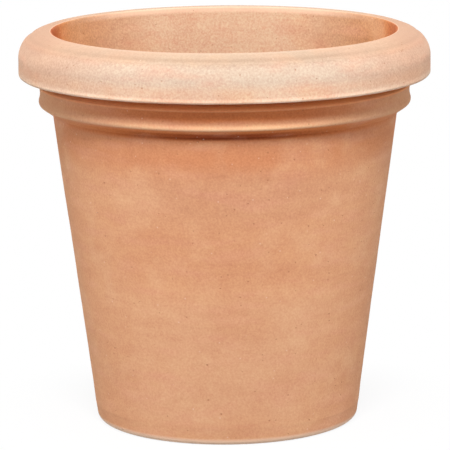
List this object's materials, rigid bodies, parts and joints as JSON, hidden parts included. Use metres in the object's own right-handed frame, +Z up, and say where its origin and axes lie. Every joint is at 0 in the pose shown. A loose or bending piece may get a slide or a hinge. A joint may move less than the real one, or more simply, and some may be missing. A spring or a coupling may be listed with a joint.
{
  "type": "flower pot",
  "caption": "Large round fired-clay planter with a heavy rolled rim over a smaller collar moulding, a wall tapering to a flat foot, and a central drain hole.",
  "frame": {"origin": "centre of the pot's axis on the floor, in the plane of the ring that it stands on", "axes": "+Z up along the pot's axis towards the mouth; +X to the right and +Y to the back of the picture's view"},
  "size_m": [0.5, 0.5, 0.48],
  "materials": {
    "terracotta_body": "matt unglazed fired clay, orange-buff, lightly mottled",
    "terracotta_rim": "matt unglazed fired clay with a paler rubbed bloom"
  },
  "bodies": {
    "root": {"base_disc": "terracotta_body", "corner_coil": "terracotta_body", "pot_wall": "terracotta_body", "collar_moulding": "terracotta_body", "rolled_rim": "terracotta_rim"}
  },
  "joints": []
}
